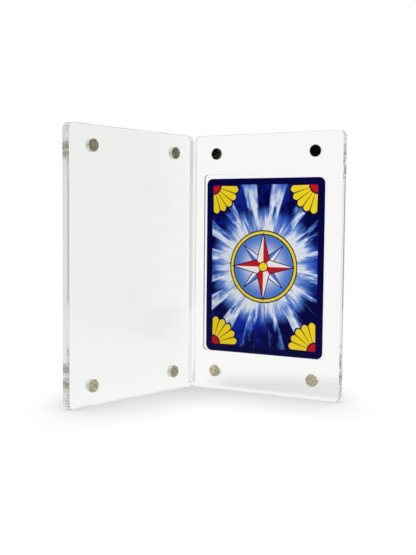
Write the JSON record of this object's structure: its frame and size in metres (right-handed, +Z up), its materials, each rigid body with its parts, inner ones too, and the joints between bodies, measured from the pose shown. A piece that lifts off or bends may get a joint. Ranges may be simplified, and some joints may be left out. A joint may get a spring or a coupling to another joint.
{
  "type": "trading card display case",
  "caption": "Two clear acrylic panels that close like a book on inset disc magnets, with a milled recess that holds one trading card.",
  "frame": {"origin": "middle of the back panel's bottom edge face, halfway through its thickness", "axes": "+Z up along the case's height, +X from the spine to the back panel's free edge, -Y out of the back panel's inner face, towards the viewer of the card"},
  "size_m": [0.1056, 0.0823, 0.13],
  "materials": {
    "clear_acrylic": "polished",
    "nickel": "satin",
    "adhesive": "gloss",
    "printed_card": "gloss"
  },
  "bodies": {
    "back": {"back_panel": "clear_acrylic", "back_magnet_spine_bottom": "nickel", "back_magnet_spine_top": "nickel", "back_magnet_free_bottom": "nickel", "back_magnet_free_top": "nickel", "back_adhesive_spine_bottom": "adhesive", "back_adhesive_spine_top": "adhesive", "back_adhesive_free_bottom": "adhesive", "back_adhesive_free_top": "adhesive"},
    "front": {"front_panel": "clear_acrylic", "front_magnet_spine_bottom": "nickel", "front_magnet_spine_top": "nickel", "front_magnet_free_bottom": "nickel", "front_magnet_free_top": "nickel", "front_adhesive_spine_bottom": "adhesive", "front_adhesive_spine_top": "adhesive", "front_adhesive_free_bottom": "adhesive", "front_adhesive_free_top": "adhesive"},
    "card": {"card": "printed_card"}
  },
  "joints": [
    {"name": "front_swing", "type": "hinge", "parent": "back", "child": "front", "pos_m": [-0.04005, -0.00255, 0], "axis": [0, 0, 1], "range_deg": [-75, 105]},
    {"name": "card_lift", "type": "slide", "parent": "back", "child": "card", "axis": [0, -1, 0], "range_m": [0, 0.0008]}
  ]
}
